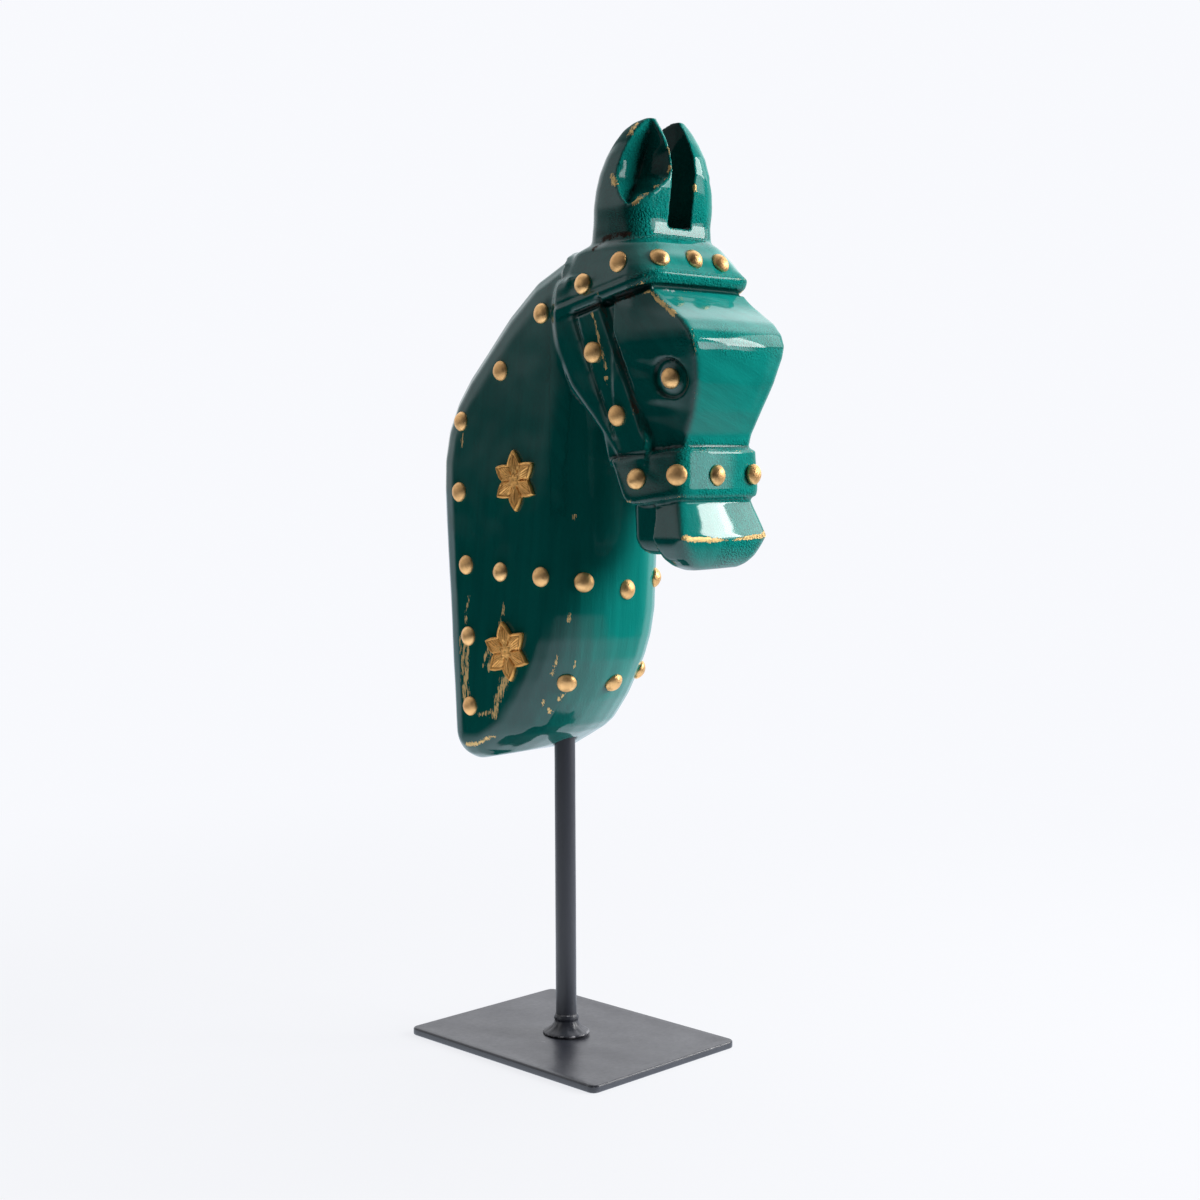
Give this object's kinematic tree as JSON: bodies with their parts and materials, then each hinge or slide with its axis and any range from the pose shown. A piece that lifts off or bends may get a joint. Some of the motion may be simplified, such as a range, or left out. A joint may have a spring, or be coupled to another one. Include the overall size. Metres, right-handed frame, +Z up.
{
  "type": "wooden horse sculpture",
  "caption": "Carved wooden horse head and neck, painted and trimmed with brass nails and flower stars, on a steel rod with a plate foot.",
  "frame": {"origin": "centre of the foot plate's underside, on the surface that the sculpture stands on", "axes": "+Z up along the rod, the horse faces -Y, its left side is +X"},
  "size_m": [0.0762, 0.1383, 0.3429],
  "materials": {
    "painted_wood": "glossy dark teal paint over hand-carved wood, worn at its edges",
    "brass_nails": "antique domed nail heads, softly polished",
    "brass_stars": "embossed and darkened in its recesses",
    "black_steel": "satin black"
  },
  "bodies": {
    "root": {"base_plate": "black_steel", "foot_weld": "black_steel", "horse_head": "painted_wood", "stand_rod": "black_steel", "star_lower_left": "brass_stars", "star_lower_right": "brass_stars", "star_upper_left": "brass_stars", "star_upper_right": "brass_stars", "stud_brow_1_left": "brass_nails", "stud_brow_1_right": "brass_nails", "stud_brow_2_left": "brass_nails", "stud_brow_2_right": "brass_nails", "stud_brow_3_left": "brass_nails", "stud_brow_3_right": "brass_nails", "stud_brow_middle": "brass_nails", "stud_cheek_1_left": "brass_nails", "stud_cheek_1_right": "brass_nails", "stud_cheek_2_left": "brass_nails", "stud_cheek_2_right": "brass_nails", "stud_chest_1_left": "brass_nails", "stud_chest_1_right": "brass_nails", "stud_chest_middle": "brass_nails", "stud_crest_1_left": "brass_nails", "stud_crest_1_right": "brass_nails", "stud_crest_2_left": "brass_nails", "stud_crest_2_right": "brass_nails", "stud_crest_3_left": "brass_nails", "stud_crest_3_right": "brass_nails", "stud_crest_4_left": "brass_nails", "stud_crest_4_right": "brass_nails", "stud_crest_5_left": "brass_nails", "stud_crest_5_right": "brass_nails", "stud_crest_6_left": "brass_nails", "stud_crest_6_right": "brass_nails", "stud_crest_7_left": "brass_nails", "stud_crest_7_right": "brass_nails", "stud_eye_left": "brass_nails", "stud_eye_right": "brass_nails", "stud_noseband_1_left": "brass_nails", "stud_noseband_1_right": "brass_nails", "stud_noseband_2_left": "brass_nails", "stud_noseband_2_right": "brass_nails", "stud_noseband_middle": "brass_nails", "stud_ring_1_left": "brass_nails", "stud_ring_1_right": "brass_nails", "stud_ring_2_left": "brass_nails", "stud_ring_2_right": "brass_nails", "stud_ring_3_left": "brass_nails", "stud_ring_3_right": "brass_nails", "stud_ring_middle": "brass_nails"}
  },
  "joints": []
}
